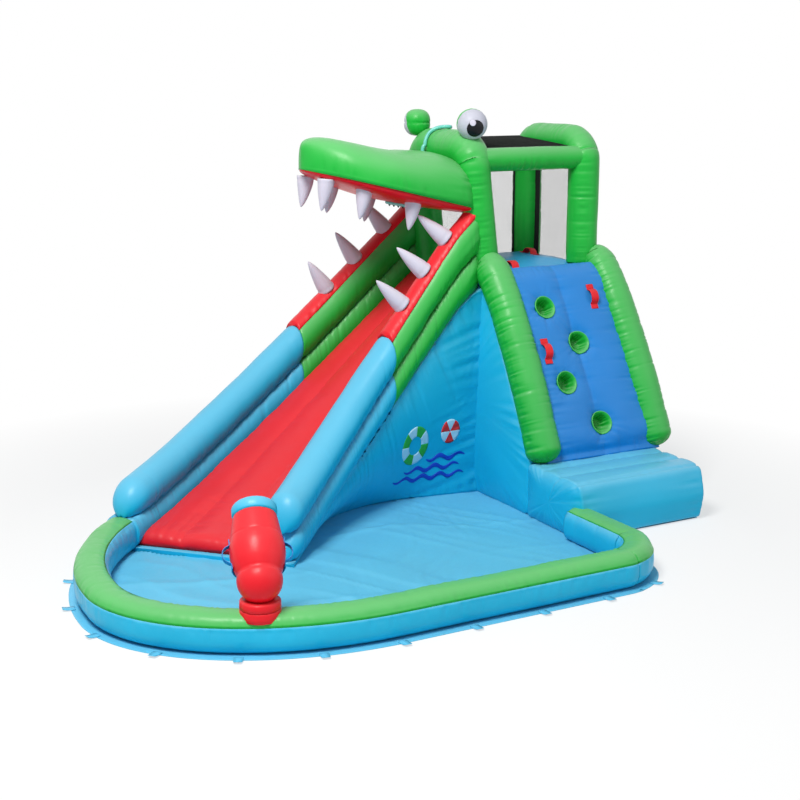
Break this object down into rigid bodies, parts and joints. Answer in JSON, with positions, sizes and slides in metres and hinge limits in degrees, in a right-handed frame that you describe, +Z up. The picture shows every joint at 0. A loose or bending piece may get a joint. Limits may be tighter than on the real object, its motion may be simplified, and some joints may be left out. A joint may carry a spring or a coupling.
{
  "type": "inflatable water slide",
  "caption": "Inflatable water slide with open jaws over a curved chute, a climbing wall up its tower, a splash pool and a water cannon.",
  "frame": {"origin": "middle of the footprint, on the ground under the base sheet", "axes": "+Z up, +X from the slide towards the tower, -Y towards the side with the climbing wall and the pool"},
  "size_m": [4.1822, 3.185, 2.5581],
  "materials": {
    "green_fabric": "coated, satin",
    "light_blue_fabric": "coated, satin",
    "royal_blue_fabric": "coated, satin",
    "red_fabric": "coated, satin",
    "white_fabric": "coated, satin",
    "black_print": "coated, satin",
    "black_net": "woven, matt",
    "supply_hose": "smooth"
  },
  "bodies": {
    "slide": {"base_sheet": "light_blue_fabric", "tower_base": "light_blue_fabric", "landing_mat": "light_blue_fabric", "slide_body": "light_blue_fabric", "slide_bed": "red_fabric", "tower_deck": "light_blue_fabric", "near_lower_tube_green": "green_fabric", "near_lower_tube_blue": "light_blue_fabric", "near_upper_tube_green": "green_fabric", "near_upper_tube_blue": "light_blue_fabric", "far_lower_tube_green": "green_fabric", "far_lower_tube_blue": "light_blue_fabric", "far_upper_tube_green": "green_fabric", "far_upper_tube_blue": "light_blue_fabric", "pool_wall": "light_blue_fabric", "pool_rim_band": "green_fabric", "climb_tube_left": "green_fabric", "climb_tube_right": "green_fabric", "front_arch": "green_fabric", "rear_arch": "green_fabric", "near_top_beam": "green_fabric", "far_top_beam": "green_fabric", "climb_panel": "royal_blue_fabric", "pocket_lining": "green_fabric", "near_gum": "red_fabric", "far_gum": "red_fabric", "upper_jaw": "green_fabric", "jaw_palate": "red_fabric", "near_eye": "green_fabric", "near_eye_face": "white_fabric", "near_pupil": "black_print", "far_eye": "green_fabric", "far_eye_face": "white_fabric", "far_pupil": "black_print", "roof_net": "black_net", "far_side_net": "black_net", "back_net": "black_net", "water_hose": "supply_hose", "climb_handle_left": "red_fabric", "climb_handle_right": "red_fabric", "deck_handle_front": "red_fabric", "deck_handle_back": "red_fabric", "inflation_sleeve": "light_blue_fabric", "cannon_seat": "red_fabric", "near_lower_tooth_1": "white_fabric", "near_upper_tooth_1": "white_fabric", "near_lower_tooth_2": "white_fabric", "near_upper_tooth_2": "white_fabric", "near_lower_tooth_3": "white_fabric", "near_upper_tooth_3": "white_fabric", "far_lower_tooth_1": "white_fabric", "far_upper_tooth_1": "white_fabric", "far_lower_tooth_2": "white_fabric", "far_upper_tooth_2": "white_fabric", "far_lower_tooth_3": "white_fabric", "far_upper_tooth_3": "white_fabric"},
    "swivel": {"cannon_neck": "red_fabric"},
    "cannon": {"cannon_barrel": "red_fabric", "cannon_muzzle": "light_blue_fabric", "cannon_strap": "royal_blue_fabric"}
  },
  "joints": [
    {"name": "cannon_swivel", "type": "hinge", "parent": "slide", "child": "swivel", "pos_m": [-1.36672, -1.27539, 0.24], "axis": [0, 0, 1], "range_deg": [-40, 40]},
    {"name": "cannon_tilt", "type": "hinge", "parent": "swivel", "child": "cannon", "pos_m": [-1.36672, -1.27539, 0.36588], "axis": [0.9455, -0.3256, 0], "range_deg": [-20, 20]}
  ]
}
